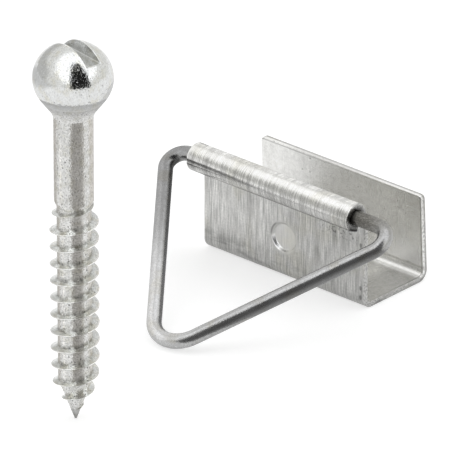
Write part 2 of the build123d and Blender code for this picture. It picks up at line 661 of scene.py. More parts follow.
def bail_reach():
    """How far the rounded far end of the bail's middle line lies out from the knuckle's axis."""
    far = Vector((BAIL_APEX_SHIFT, BAIL_DEPTH))
    left = (Vector((-CLIP_LENGTH / 2 - BAIL_LEFT, 0)) - far).normalized()
    right = (Vector((CLIP_LENGTH / 2 + BAIL_RIGHT, 0)) - far).normalized()
    to_centre = BAIL_APEX_BEND / math.sin(left.angle(right) / 2)
    centre = far + (left + right).normalized() * to_centre
    return centre.y + BAIL_APEX_BEND


def bail_corners():
    """Sharp corners of the wire's middle line, from its left end in the knuckle to its right."""
    tilt = math.asin((KNUCKLE_HEIGHT - WIRE_RADIUS) / bail_reach())
    half = CLIP_LENGTH / 2
    corners = [
        (-BAIL_ENDS_GAP / 2, 0),
        (-half - BAIL_LEFT, 0),
        (BAIL_APEX_SHIFT, BAIL_DEPTH),
        (half + BAIL_RIGHT, 0),
        (BAIL_ENDS_GAP / 2, 0),
    ]
    return [
        (x, KNUCKLE_Y - out * math.cos(tilt), KNUCKLE_HEIGHT - out * math.sin(tilt))
        for x, out in corners
    ]


def bail_line():
    """Corners of the bail's wire as a polyline that carries the bend of each corner."""
    points = bail_corners()
    bends = (0, BAIL_LEFT_BEND, BAIL_APEX_BEND, BAIL_RIGHT_BEND, 0)
    mesh = bpy.data.meshes.new("bail_line")
    mesh.from_pydata(points, [(i, i + 1) for i in range(len(points) - 1)], [])
    layer = mesh.attributes.new("bend", "FLOAT", "POINT")
    layer.data.foreach_set("value", bends)
    return mesh


def make_bail(material):
    """Wire bail, its ends hidden in the knuckle."""
    mesh = grow(bail_line(), wire_tree(), material)
    piece = finished("bail_wire", shaded(mesh, 50), material, "bail")
    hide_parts("wire_bail")


# Screw

def closed_rings(rings, bottom, top):
    """Closed skin over rings of points, with a point at each end."""
    sides = len(rings[0])
    vertices = [bottom] + [point for ring in rings for point in ring] + [top]
    last = len(vertices) - 1
    faces = []
    for j in range(sides):
        k = (j + 1) % sides
        faces.append((0, 1 + k, 1 + j))
        faces.append((last, last - sides + j, last - sides + k))
        for i in range(len(rings) - 1):
            a = 1 + i * sides
            faces.append((a + j, a + k, a + sides + k, a + sides + j))
    mesh = bpy.data.meshes.new("rings")
    mesh.from_pydata(vertices, [], faces)
    return facing_out(mesh)


def stem_mesh():
    """Neck, shank, core and point, turned about the screw's axis."""
    corners = [
        (TIP_RADIUS, 0),
        (CORE_RADIUS, POINT_LENGTH),
        (CORE_RADIUS, SHANK_BOTTOM),
        (SHANK_RADIUS, SHANK_BOTTOM + SHANK_STEP),
        (SHANK_RADIUS, NECK_BOTTOM),
        (NECK_RADIUS, NECK_TOP),
        (NECK_RADIUS * 0.8, NECK_TOP + NECK_IN_BALL),
    ]
    parts = rounded(corners, STEM_BENDS)
    spots = [place(parts, s)[0] for s in stations(parts, 0.5, math.radians(6))]
    rings = [ring_at(spot.x, spot.y, STEM_SIDES) for spot in spots]
    return closed_rings(rings, (0, 0, 0), (0, 0, NECK_TOP + NECK_IN_BALL))


def ring_at(radius, height, sides):
    """Level ring of points round the screw's axis."""
    angles = [2 * math.pi * j / sides for j in range(sides)]
    return [(radius * math.cos(a), radius * math.sin(a), height) for a in angles]


def ball_ring(across, cut):
    """Upright section of the ball at a distance across it; a cut one ends at the slot's floor."""
    floor = BALL_HALF_HEIGHT - SLOT_DEPTH
    share = math.sqrt(max(0.0, 1 - (across / BALL_RADIUS) ** 2))
    wide, high = BALL_RADIUS * share, BALL_HALF_HEIGHT * share
    level = floor / BALL_HALF_HEIGHT / max(share, 1e-6)
    edge = math.asin(level) if level < 1 else math.pi / 2 * 0.999
    lower = [edge - (math.pi + 2 * edge) * i / RING_BELOW for i in range(RING_BELOW + 1)]
    upper = [math.pi - edge - (math.pi - 2 * edge) * i / RING_ABOVE for i in range(1, RING_ABOVE)]
    ring = []
    for angle in lower + upper:
        height = high * math.sin(angle)
        if cut:
            height = min(height, floor)
        ring.append((wide * math.cos(angle), across, BALL_CENTRE + height))
    return ring


def ball_mesh():
    """Ball cut into upright sections across the slot, so that the slot's edges are true lines."""
    near = SLOT_OFF_CENTRE - SLOT_WIDTH / 2
    far = SLOT_OFF_CENTRE + SLOT_WIDTH / 2
    steps = [math.sin(math.pi / 2 * i / BALL_SECTIONS) for i in range(BALL_SECTIONS)]
    rings = [ball_ring(near - (BALL_RADIUS + near) * step, False) for step in reversed(steps)]
    rings += [ball_ring(near + SLOT_WIDTH * i / SLOT_SECTIONS, True) for i in range(SLOT_SECTIONS + 1)]
    rings += [ball_ring(far + (BALL_RADIUS - far) * step, False) for step in steps]
    mesh = closed_rings(rings, (0, -BALL_RADIUS, BALL_CENTRE), (0, BALL_RADIUS, BALL_CENTRE))
    mesh.transform(Matrix.Rotation(math.radians(SLOT_TURN), 4, "Z"))
    return mesh


def thread_line(tree, given, drop, height):
    """Helix of the thread's root, by its drop from the top and its height."""
    line = out_of(add(tree, "GeometryNodeCurvePrimitiveLine", (0, 0, 0), (0, 0, 1)))
    line = out_of(add(tree, "GeometryNodeResampleCurve", line, None, THREAD_STEPS))
    angle = given["Top turn"] - drop / given["Pitch"] * (2 * math.pi)
    to_point = (height / given["Point length"]).calc("MINIMUM", 1.0)
    root = (given["Core radius"] - TIP_RADIUS) * to_point + (TIP_RADIUS - THREAD_SUNK)
    spot = spot_at(tree, root * angle.calc("COSINE"), root * angle.calc("SINE"), height)
    line = out_of(add(tree, "GeometryNodeSetPosition", line, None, spot))
    return out_of(add(tree, "GeometryNodeSetCurveNormal", line, mode="Z_UP"))


def thread_tree():
    """Helical ridge round the core: it runs in below the shank and follows the point down."""
    sizes = {
        "Pitch": THREAD_PITCH,
        "Top": THREAD_TOP,
        "Foot": THREAD_FOOT,
        "Top turn": math.radians(THREAD_TOP_TURN),
        "Core radius": CORE_RADIUS,
        "Point length": POINT_LENGTH,
        "Run-in": THREAD_RUN_IN,
    }
    tree, given = geometry_tree("helical_thread", sizes)
    share = out_of(tree.nodes.new("GeometryNodeSplineParameter"), "Factor")
    drop = (1.0 - share) * (given["Top"] - given["Foot"])
    height = given["Top"] - drop
    line = thread_line(tree, given, drop, height)

    def grows(value, low, high, full):
        return out_of(add(tree, "ShaderNodeMapRange", value, low, high, 0.0, full))

    size = grows(height, given["Foot"], THREAD_NEAR_TIP, THREAD_SIZE_THERE)
    size += grows(height, THREAD_NEAR_TIP, THREAD_FULL, 1 - THREAD_SIZE_THERE)
    size *= grows(drop, 0.0, given["Run-in"], 1.0)
    outline = out_of(add(tree, "GeometryNodeMeshToCurve", given["Geometry"]))
    ridge = tree.nodes.new("GeometryNodeCurveToMesh")
    size = size.calc("MAXIMUM", 0.02)
    fill(ridge, Curve=line, Profile_Curve=outline, Scale=size, Fill_Caps=True)
    return close_tree(tree, out_of(ridge), given["Material"])


def thread_section():
    """Outline of the thread's ridge, x outwards and y up."""
    ridge = THREAD_CREST_RADIUS - CORE_RADIUS + THREAD_SUNK
    root = THREAD_ROOT_WIDTH / 2
    lower, upper = THREAD_CREST
    points = [(0, -root), (ridge - 0.02, lower), (ridge, lower + 0.02), (ridge, upper)]
    points += [(ridge - THREAD_CHAMFER, upper + THREAD_CHAMFER), (0, root)]
    edges = [(i, (i + 1) % len(points)) for i in range(len(points))]
    mesh = bpy.data.meshes.new("thread_section")
    mesh.from_pydata([(x, y, 0) for x, y in points], edges, [])
    return mesh


def make_screw(ball_material, stem_material, thread_material):
    """Ball, turned stem and thread, which all ride on the screw."""
    ball = shaded(eased(ball_mesh(), SLOT_LIP, 50), 60)
    stem = shaded(stem_mesh(), 60)
    thread = shaded(facing_out(grow(thread_section(), thread_tree(), thread_material)), 22)
    pieces = (
        ("screw_ball", ball, ball_material),
        ("screw_stem", stem, stem_material),
        ("screw_thread", thread, thread_material),
    )
    for name, mesh, material in pieces:
        mesh.transform(Matrix.Translation(SCREW_PLACE))
        piece = finished(name, mesh, material, "screw")
        if name == "screw_stem":
            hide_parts("ball_screw")


# Patterns that more than one finish uses

def shader_group(name, sizes, result):
    """New shader group with a named input for each size and one result, and its inputs."""
    tree = bpy.data.node_groups.new(name, "ShaderNodeTree")
    take_in(tree, sizes)
    tree.interface.new_socket(result, in_out="OUTPUT", socket_type="NodeSocketFloat")
    return tree, given_to(tree)


def ends_in(value):
    """Ends a shader group in its result."""
    feed(value.tree.nodes.new("NodeGroupOutput").inputs[0], value)
    return value.tree


def noise(spot, detail):
    """Noise at a place, with its middle swing brought to 0 to 1."""
    made = fill(spot.tree.nodes.new("ShaderNodeTexNoise"), Scale=1.0, Detail=detail, Vector=spot)
    return out_of(add(spot.tree, "ShaderNodeMapRange", out_of(made, "Fac"), 0.3, 0.7))


def band_group():
    """1 where a value lies between two others, with soft edges."""
    sizes = {"Value": 0.0, "From": 0.0, "To": 1.0, "Edge": 0.1}
    tree, given = shader_group("band", sizes, "Mask")
    past = (given["Value"] - given["From"]) / given["Edge"]
    short = (given["To"] - given["Value"]) / given["Edge"]
    return ends_in(past.ramp(-0.5, 0.5) * short.ramp(-0.5, 0.5))


def streak_group():
    """Drawing lines of rolled metal: narrow across and long the other way."""
    sizes = {"Place": (0.0, 0.0, 0.0), "Across": 0.12, "Along": 2.5, "Sort": 0.0}
    tree, given = shader_group("drawn_streaks", sizes, "Lightness")
    x, y, _ = given["Place"].split()
    return ends_in(noise(spot_at(tree, x / given["Across"], y / given["Along"], given["Sort"]), 3.0))


def mottle_group():
    """Cloudy grain of rolled, drawn or plated metal."""
    sizes = {"Place": (0.0, 0.0, 0.0), "Size": 0.2, "Detail": 3.0, "Sort": 0.0}
    tree, given = shader_group("mottling", sizes, "Lightness")
    spot = given["Place"].vector("SCALE", Scale=1.0 / given["Size"])
    moved = spot_at(tree, given["Sort"], given["Sort"], given["Sort"])
    return ends_in(noise(spot.vector("ADD", moved), given["Detail"]))


def speck_group():
    """Small round pits, in a share of the cells that they are scattered over."""
    sizes = {"Place": (0.0, 0.0, 0.0), "Spacing": 1.0, "Size": 0.2, "Share": 0.3}
    tree, given = shader_group("specks", sizes, "Mask")
    spot = given["Place"].vector("SCALE", Scale=1.0 / given["Spacing"])
    cells = fill(tree.nodes.new("ShaderNodeTexVoronoi"), Scale=1.0, Vector=spot)
    chances = add(tree, "ShaderNodeSeparateColor", out_of(cells, "Color"))
    chosen = out_of(chances, 0).calc("LESS_THAN", given["Share"])
    radius = given["Size"] * (out_of(chances, 1) + 0.4)
    inside = out_of(cells, "Distance") / radius
    return ends_in(chosen * inside.ramp(0.7, 1.3, 1.0, 0.0))


# Finishes: places in millimetres; a light of 1 is the full tint, and each mark takes a share of it

def metal(name):
    """Bare metal, whose colour, roughness and relief are still to come."""
    material = bpy.data.materials.new(name)
    material.use_nodes = True
    shader = material.node_tree.nodes["Principled BSDF"]
    shader.inputs["Metallic"].default_value = 1
    return material, material.node_tree, shader


def coloured(light, tint, stain_tint, stain):
    """Light given the metal's tint, which turns to the stain's where the mask is 1."""
    grey = out_of(add(light.tree, "ShaderNodeCombineColor", light, light, light))
    tint = mixed(light.tree, stain, (*tint, 1), (*stain_tint, 1))
    return mixed(light.tree, 1.0, grey, tint, blend_type="MULTIPLY")


def finish(shader, colour, rough, relief, depth):
    """Colour, roughness and relief of a metal; a relief of 1 stands for a depth in millimetres."""
    bump = shader.id_data.nodes.new("ShaderNodeBump")
    fill(bump, Strength=1.0, Distance=depth * MM, Height=relief)
    fill(shader, Base_Color=colour, Roughness=rough, Normal=out_of(bump))


def sheet_spots(tree, groups):
    """Where a point of the clip lies on the flat sheet, and the patterns that its marks share."""
    places = strip_places(strip_route())
    x, s, _ = out_of(add(tree, "ShaderNodeUVMap", uv_map="sheet_place")).split()
    outside = out_of(add(tree, "ShaderNodeAttribute", attribute_name="outside"), "Fac")
    inside = 1.0 - outside
    outer = outside.ramp(0.3, 0.7)
    flat = spot_at(tree, x, s, outside)
    from_dimple = spot_at(tree, x, s - places.dimple, 0.0)
    away = from_dimple.vector("LENGTH", result="Value")

    def between(value, low, high, edge):
        return value.through(groups.band, From=low, To=high, Edge=edge)

    pits = flat.through(groups.specks, Spacing=0.5, Size=0.13, Share=0.4)
    return SimpleNamespace(
        places=places,
        x=x,
        s=s,
        flat=flat,
        outside=outside,
        inside=inside,
        outer=outer,
        curled=s.ramp(places.curl - CURL_BLEND, places.curl + CURL_BLEND) * outside,
        away=away,
        toward=from_dimple.vector("NORMALIZE"),
        plain=1.0 - away.ramp(1.6, 1.9, 1.0, 0.0) * outer * 0.75,
        fine=flat.through(groups.streaks, Across=0.13, Along=2.4),
        broad=flat.through(groups.streaks, Across=0.75, Along=9.0, Sort=4.0),
        cloud=flat.through(groups.mottle, Size=2.6, Sort=2.0),
        grain=flat.through(groups.mottle, Size=0.16, Sort=7.0),
        pits=pits * (inside * between(s, -1.0, places.rear_foot, 0.5)),
        between=between,
    )


def inner_light(sheet):
    """Inside of the channel, painted lighter than the outside: painted shade on the web and in the rear
    wall's middle, painted light low on its right.
    """
    x, s, places = sheet.x, sheet.s, sheet.places
    web = s.ramp(places.rear_foot + 0.2, places.web_start + 0.3)
    front_wall = s.ramp(places.web_end - 0.6, places.web_end)
    # Painted shade in the rear wall's middle
    painted_shade_rear = x.ramp(-8.5, -2.5) * x.ramp(0.0, 7.0, 1.0, 0.05)
    painted_shade_rear *= s.ramp(places.rear_foot, places.rear_foot - 2.0)
    # Painted light low on the rear wall's right
    painted_light_low_right = x.ramp(1.0, 7.0) * s.ramp(places.rear_foot - 4.5, places.rear_foot - 1.5)
    # Painted shade on the web, deeper at the right end
    light = 0.95 * (1.0 - web * x.ramp(5.5, 7.5, 0.25, 0.45)) * (1.0 + 0.04 * front_wall)
    return light * (1.0 - 0.2 * painted_shade_rear) * (1.0 + 0.15 * painted_light_low_right)


def outer_light(sheet, groups):
    """Outside of the sheet: painted highlight on the knuckle, painted shade on its low side, at the front
    wall's foot and towards the right end, and smears near the foot.
    """
    x, s, places = sheet.x, sheet.s, sheet.places
    low_side = round_knuckle(places, LOW_SIDE_ANGLE)
    # Painted shade on the knuckle's low side
    under = s.ramp(low_side - 0.2, low_side + 0.2) * sheet.outer
    # Painted shade towards the front wall's foot, most at the left
    foot = s.ramp(places.web_end, places.web_end + 4.0, 1.0, 0.0) * x.ramp(-9.0, 3.0, 1.0, 0.3)
    wide = sheet.flat.vector("MULTIPLY", (0.25, 1.3, 1.0))
    smear = wide.through(groups.mottle, Size=0.7, Sort=11.0).ramp(0.35, 0.8)
    smear *= sheet.between(s, places.web_end - 0.2, places.web_end + 2.4, 1.6)
    smear *= x.ramp(-8.0, 6.0, 1.0, 0.2)
    # Painted shade growing towards the right end, off the knuckle
    painted_light_mask = (x.ramp(-8.0, 8.0) - sheet.curled).calc("MAXIMUM", 0.0)
    pressed = sheet.away.ramp(1.1, 1.75, 1.0, 0.0) * sheet.outer
    # Painted tone: the outside set darker than the inside, and the knuckle lighter as a painted highlight
    light = 0.65 * (1.0 + 0.12 * sheet.curled) * (1.0 - 0.19 * under) * (1.0 - 0.26 * foot)
    return light * (1.0 - 0.3 * smear) * (1.0 - 0.15 * painted_light_mask) * (1.0 + 0.17 * pressed)


def dimple_rim(sheet, light):
    """Painted highlight low on the left of the dimple's rim, and painted shade above it."""
    leftward, rise, _ = sheet.toward.split()
    low_left = leftward * -0.8 + rise * -0.6
    up_left = leftward * -0.9 + rise * 0.43
    bright = sheet.between(sheet.away, 1.3, 1.56, 0.1) * low_left.ramp(0.75, 0.95)
    dark = sheet.between(sheet.away, 1.5, 1.64, 0.1) * up_left.ramp(0.8, 0.97)
    return (light + 0.5 * bright * sheet.outer) * (1.0 - 0.5 * dark * sheet.outer)


def drawn_lines(sheet, light):
    """Drawing lines, clouds and grain: strong outside, faint inside and in the dimple."""
    for pattern, on_outer, on_inner in (
        (sheet.fine, 0.62, 0.05),
        (sheet.broad, 0.26, 0.07),
        (sheet.cloud, 0.12, 0.05),
        (sheet.grain, 0.2, 0.12),
    ):
        swing = sheet.outer.ramp(0.0, 1.0, on_inner, on_outer) * sheet.plain
        light *= 1.0 - (pattern - 0.5) * swing
    return light


def knuckle_marks(sheet, groups, light):
    """Painted highlight on the top; painted shade under the front, in the bore, low on the cut ends and
    along the crease; burred cut ends.
    """
    x, s, places = sheet.x, sheet.s, sheet.places
    angles = (KNUCKLE_HIGHLIGHT_ANGLE, UNDERSIDE_SHADE_ANGLE, CREASE_ANGLE)
    top, under, crease = (round_knuckle(places, angle) for angle in angles)
    ragged = s + (sheet.fine - 0.5) * 0.5
    at_end = x.ramp(HALF_LENGTH - 0.06, HALF_LENGTH - 0.01)
    burred = sheet.flat.through(groups.mottle, Size=0.22, Sort=17.0).ramp(0.35, 0.75)
    cut_end = at_end * s.ramp(places.curl, places.curl + 0.3)
    underside_shade = s.ramp(under - 0.1, under + 0.2) * sheet.outer
    fold = sheet.between(s, crease - 0.04, crease + 0.12, 0.12) * sheet.outside
    # Painted highlight: lighter band round the knuckle's top front, with a ragged edge
    light += 0.22 * sheet.between(ragged, top - 0.25, top + 0.42, 0.3) * sheet.outer
    # Painted shade under the knuckle's front, stronger towards the right
    light *= 1.0 - underside_shade * x.ramp(-9.0, 0.0, 0.3, 0.85)
    # Painted shade inside the knuckle's bore
    light *= 1.0 - 0.8 * sheet.inside * s.ramp(places.curl - CURL_BLEND, places.curl)
    light *= 1.0 - 0.42 * at_end * burred
    # Painted shade on the knuckle's cut end, deepening past its top
    light *= 1.0 - cut_end * s.ramp(top, top + 0.9, 0.05, 0.35)
    # Painted shade along the crease, fading out to the right
    return light * (1.0 - 0.6 * fold * x.ramp(-6.0, 1.0, 1.0, 0.0))


def inside_dirt_and_shade(sheet, groups, light):
    """Smudges, pits and the dark lines along the edges of the channel's inside, with painted shade in the
    rear wall's inner bend.
    """
    x, s, places, inside = sheet.x, sheet.s, sheet.places, sheet.inside
    smudges = sheet.flat.through(groups.mottle, Size=0.45, Detail=4.0, Sort=13.0)
    edge_line = sheet.between(s, 0.1, 0.22, 0.12) * x.ramp(-7.0, 0.0, 0.4, 0.1)
    end_line = sheet.between(x, HALF_LENGTH - 0.2, HALF_LENGTH - 0.08, 0.08)
    end_line *= s.ramp(places.web_start, places.web_end, 1.0, 0.4)
    corner = sheet.between(s, places.rear_foot - 0.35, places.rear_foot - 0.05, 0.3)
    light *= 1.0 - 0.16 * (smudges - 0.5) * inside
    light *= 1.0 - 0.45 * sheet.pits
    light *= 1.0 - edge_line * inside
    light *= 1.0 - 0.4 * end_line * inside
    # Painted shade in the rear wall's inner bend
    return light * (1.0 - 0.35 * corner * inside)


def front_scuffs(sheet, groups, light):
    """Scuffed patch under the knuckle's right end and three pits down the wall's edge."""
    x, s, places = sheet.x, sheet.s, sheet.places
    marks = sheet.flat.through(groups.streaks, Across=0.3, Along=0.35, Sort=9.0).ramp(0.55, 0.8)
    patch = sheet.between(x, 4.6, 9.2, 1.6) * sheet.between(s, places.curl - 3.6, places.curl - 1.1, 1.0)
    light *= 1.0 - 0.5 * patch * marks * sheet.outside
    for height in EDGE_PITS:
        up = (s - (places.web_end + height)) / 0.24
        off = (x - EDGE_PITS_ALONG) / 0.15
        far = up.calc("POWER", 2.0) + off.calc("POWER", 2.0)
        light *= 1.0 - 0.5 * far.ramp(0.4, 1.6, 1.0, 0.0) * sheet.outside
    return light


def clip_aluminium(groups):
    """Mill-finish sheet: drawing lines up the walls and round the knuckle, with the inside painted
    lighter than the outside.
    """
    material, tree, shader = metal("clip_aluminium")
    sheet = sheet_spots(tree, groups)
    sides = inner_light(sheet), outer_light(sheet, groups)
    light = out_of(add(tree, "ShaderNodeMix", sheet.outer, *sides, data_type="FLOAT"))
    light = drawn_lines(sheet, dimple_rim(sheet, light))
    light = knuckle_marks(sheet, groups, light)
    light = inside_dirt_and_shade(sheet, groups, light)
    light = front_scuffs(sheet, groups, light)
    stain = sheet.cloud.ramp(0.45, 1.0) * 0.8 * sheet.outer
    colour = coloured(light, (1.0, 0.995, 0.972), (1.0, 0.985, 0.91), stain)
    rough = sheet.fine * 0.08 + sheet.outside.ramp(0.3, 0.7, 0.2, 0.28) - sheet.curled * 0.06
    lines = sheet.fine * sheet.outside.ramp(0.3, 0.7, 0.1, 1.0) * sheet.plain
    finish(shader, colour, rough, lines + sheet.grain * 0.3 - sheet.pits * 1.5, 0.012)
    return material


def bail_steel(groups):
    """Drawn steel wire gone dull: grainy all over and browner near the knuckle."""
    material, tree, shader = metal("bail_steel")
    spot = out_of(add(tree, "ShaderNodeAttribute", attribute_name="wire_place"), "Vector")
    along = spot.split()[0]
    grain = spot.through(groups.mottle, Size=0.13, Detail=3.0)
    patches = spot.through(groups.mottle, Size=1.6, Sort=3.0)
    lines = spot.vector("MULTIPLY", (0.12, 1.0, 1.0)).through(groups.mottle, Size=0.22, Sort=5.0)
    # Darker near the left bend and lighter down the lower left leg
    lighter_lower_left_leg = along.through(groups.band, From=24.0, To=38.0, Edge=8.0)
    darker_near_left_bend = along.through(groups.band, From=6.0, To=22.0, Edge=12.0)
    rusty = along.ramp(57.5, 61.5)
    light = 0.64 + lighter_lower_left_leg * 0.16
    for mask, share in (
        (grain, 0.3), (patches, 0.16), (lines, 0.08), (darker_near_left_bend, 0.38), (rusty, 0.4), (rusty * grain, 0.6),
    ):
        light *= 1.0 - mask * share
    stain = patches.ramp(0.5, 1.0, 0.0, 0.6).calc("MAXIMUM", rusty)
    colour = coloured(light, (1.0, 1.0, 1.0), (1.0, 0.97, 0.89), stain)
    rough = grain * 0.08 + rusty.ramp(0.0, 1.0, 0.23, 0.36)
    finish(shader, colour, rough, grain * rusty.ramp(0.0, 1.0, 0.003, 0.010), 1.0)
    return material


def slot_mask(spot):
    """1 inside the driver slot, where its walls and floor take painted shade."""
    back = math.radians(-SLOT_TURN)
    turned = fill(spot.tree.nodes.new("ShaderNodeMapping"), Vector=spot)
    turned.inputs["Location"].default_value = -(Matrix.Rotation(back, 3, "Z") @ SCREW_PLACE)
    turned.inputs["Rotation"].default_value[2] = back
    _, across, up = out_of(turned).split()
    off = (across - SLOT_OFF_CENTRE).calc("ABSOLUTE")
    inside = off.ramp(SLOT_WIDTH / 2 - 0.02, SLOT_WIDTH / 2 + 0.03, 1.0, 0.0)
    return inside * up.ramp(SLOT_FLOOR - 0.1, SLOT_FLOOR - 0.05)


def from_axis(spot):
    """Place across the screw's axis and distance from it."""
    x, y, _ = spot.split()
    x, y = x - SCREW_PLACE.x, y - SCREW_PLACE.y
    return x, y, (x * x + y * y).calc("SQRT")


def beside_thread(spot, up):
    """1 in the corner above each turn of the thread and at its root, where shade is painted."""
    x, y, out = from_axis(spot)
    angle = y.calc("ARCTAN2", x) / (2 * math.pi)
    turns = (THREAD_TOP - up) / THREAD_PITCH + (angle - THREAD_TOP_TURN / 360)
    above = (turns + 100.0).calc("FRACT").ramp(0.62, 0.85)
    above *= up.ramp(THREAD_TOP - 0.3, THREAD_TOP + 0.3, 1.0, 0.0)
    root = out.ramp(CORE_RADIUS, CORE_RADIUS + 0.25, 1.0, 0.0)
    return above * root * up.ramp(3.0, 4.5)


def on_shank(up, below, above):
    """Value that changes where the thread gives way to the shank."""
    return up.ramp(SHANK_BOTTOM - 1.0, SHANK_BOTTOM, below, above)


def zinc_plate(
    groups, name, lightness, tint, rough, stained, speckled, speck_depth, grain_relief, pit_relief,
):
    """Bright zinc plate: fine grain, dark specks, dashes round the core and faint yellowish stains, with
    a painted highlight on the thread's crests and painted shade in the slot and beside the thread.
    """
    material, tree, shader = metal(name)
    spot = out_of(tree.nodes.new("ShaderNodeTexCoord"), "Object").vector("SCALE", Scale=1 / MM)
    up = spot.split()[2]
    grain = spot.through(groups.mottle, Size=0.17, Detail=2.0)
    patches = spot.through(groups.mottle, Size=0.8, Sort=3.0)
    smears = spot.through(groups.mottle, Size=0.4, Sort=6.0)
    specks = spot.through(groups.specks, Spacing=0.34, Size=0.17, Share=speckled)
    drawn = spot.vector("MULTIPLY", spot_at(tree, 1.0, 1.0, on_shank(up, 2.2, 0.4)))
    dashes = drawn.through(groups.mottle, Size=0.11, Detail=1.0, Sort=8.0).ramp(0.6, 0.85)
    # Painted highlight on the thread's crests
    crest = THREAD_CREST_RADIUS - 0.12
    painted_light_mask = from_axis(spot)[2].ramp(crest, crest + 0.06)
    painted_light_mask *= up.ramp(THREAD_TOP, THREAD_TOP + 0.5, 1.0, 0.0)
    # Painted shade in the slot: the floor darker, the walls darker still in patches
    walls = up.ramp(SLOT_FLOOR + 0.02, SLOT_FLOOR + 0.12, 0.12, patches.ramp(0.1, 0.9, 0.12, 0.42))
    light = (lightness + painted_light_mask * 0.22) * on_shank(up, 1.07, 1.0)
    for mask, share in (
        (grain, stained + 0.04),
        (patches, stained),
        (specks, on_shank(up, 0.75, speck_depth)),
        (dashes, on_shank(up, speck_depth, speck_depth / 2)),
        (slot_mask(spot), walls),
        # Painted shade above each turn of the thread and at its root, broken up by smears
        (beside_thread(spot, up) * smears.ramp(0.2, 0.8, 0.15, 1.0), 0.3),
        (up.ramp(0.3, 1.6, 1.0, 0.0), 0.5),
    ):
        light *= 1.0 - mask * share
    colour = coloured(light, tint, (1.0, 0.99, 0.92), patches.ramp(0.4, 1.0))
    relief = grain * grain_relief - specks * pit_relief - dashes * (pit_relief * 0.12)
    finish(shader, colour, patches * 0.05 + rough, relief, 1.0)
    return material


# Stage

def seen_in_gloss(tree, camera_strength, gloss_strength):
    """Strength of a surface's own light, for the camera and for reflections in metal."""
    path = tree.nodes.new("ShaderNodeLightPath")
    gloss = out_of(path, "Is Glossy Ray").calc("MAXIMUM", out_of(path, "Is Transmission Ray"))
    return out_of(path, "Is Camera Ray") * camera_strength + gloss * gloss_strength


def stage_piece(name, vertices, faces, colour):
    """Plain matt piece of the studio that can glow white."""
    mesh = bpy.data.meshes.new(name)
    mesh.from_pydata(vertices, [], faces)
    mesh.transform(Matrix.Scale(MM, 4))
    piece = bpy.data.objects.new(name, mesh)
    bpy.context.scene.collection.objects.link(piece)
    material = bpy.data.materials.new(name)
    material.use_nodes = True
    shader = material.node_tree.nodes["Principled BSDF"]
    shader.inputs["Base Color"].default_value = (colour, colour, colour, 1)
    shader.inputs["Roughness"].default_value = 0.8
    shader.inputs["Specular IOR Level"].default_value = 0.1
    shader.inputs["Emission Color"].default_value = (1, 1, 1, 1)
    mesh.materials.append(material)
    return piece, material.node_tree, shader


def make_floor():
    """White floor that keeps the shadow; the metal sees it darker at the back left."""
    size = FLOOR_HALF
    corners = [(-size, -size, 0), (size, -size, 0), (size, size, 0), (-size, size, 0)]
    _, tree, shader = stage_piece("floor", corners, [(0, 1, 2, 3)], FLOOR_COLOUR)
    across, back, _ = out_of(tree.nodes.new("ShaderNodeNewGeometry"), "Position").split()
    at_left = across.ramp(-0.1, -0.04, 1.0, 0.0) * back.ramp(0.0, 0.03, 1.0, 0.0)
    gloss = at_left.ramp(0.0, 1.0, FLOOR_IN_GLOSS, FLOOR_AT_LEFT)
    fill(shader, Emission_Strength=seen_in_gloss(tree, FLOOR_TO_WHITE, gloss))


def make_card(name, vertices, faces, glows):
    """Card that is seen only in the metal's gloss, only from its front, each corner with its glow."""
    card, tree, shader = stage_piece(name, vertices, faces, 0.0)
    layer = card.data.attributes.new("glow", "FLOAT", "POINT")
    layer.data.foreach_set("value", glows)
    fill(shader, Emission_Strength=out_of(add(tree, "ShaderNodeAttribute", attribute_name="glow"), "Fac"))
    behind = out_of(tree.nodes.new("ShaderNodeNewGeometry"), "Backfacing")
    clear = out_of(tree.nodes.new("ShaderNodeBsdfTransparent"))
    both = out_of(add(tree, "ShaderNodeMixShader", behind, out_of(shader), clear))
    fill(tree.nodes["Material Output"], Surface=both)
    for rays in ("camera", "diffuse", "shadow", "transmission", "volume_scatter"):
        setattr(card, "visible_" + rays, False)
    return card, shader


def glow_steps(steps):
    """Angles in radians and glows, from the given ones and a few degrees apart between them."""
    close = []
    for (angle, glow), (next_angle, next_glow) in zip(steps, steps[1:]):
        count = max(2, math.ceil(abs(next_angle - angle) / CARD_STEP))
        for i in range(count):
            share = i / count
            close.append((angle + (next_angle - angle) * share, glow + (next_glow - glow) * share))
    return [(math.radians(angle), glow) for angle, glow in close + [steps[-1]]]


def curved_card(name, start, end, radius, steps):
    """Card bent round a line; its angles run from the side that faces the camera."""
    axis = (end - start).normalized()
    view = view_direction()
    front = (view - axis * view.dot(axis)).normalized()
    side = front.cross(axis)
    steps = glow_steps(steps)
    ring = [(front * math.cos(angle) + side * math.sin(angle)) * radius for angle, glow in steps]
    count = len(ring)
    vertices = [start + spot for spot in ring] + [end + spot for spot in ring]
    faces = [(i, i + 1, i + 1 + count, i + count) for i in range(count - 1)]
    card, shader = make_card(name, vertices, faces, [glow for angle, glow in steps] * 2)
    if card.data.polygons[0].normal.dot(ring[0]) > 0:
        card.data.flip_normals()
    return shader


def screw_card(name, bottom, top, radius, steps):
    """Card bent round the screw's axis between two heights."""
    low, high = (SCREW_PLACE + Vector((0, 0, height)) for height in (bottom, top))
    return curved_card(name, low, high, radius, steps)


def neck_card():
    """Level ring under the neck, so that the neck doesn't see the grey card below it."""
    height, sides, steps = NECK_CARD
    rings = [ring_at(radius, height, sides) for radius, glow in steps]
    corners = [SCREW_PLACE + Vector(spot) for ring in rings for spot in ring]
    faces = [
        (start + i, start + sides + i, start + sides + (i + 1) % sides, start + (i + 1) % sides)
        for start in range(0, sides * (len(steps) - 1), sides)
        for i in range(sides)
    ]
    make_card("neck_card", corners, faces, [glow for radius, glow in steps for i in range(sides)])


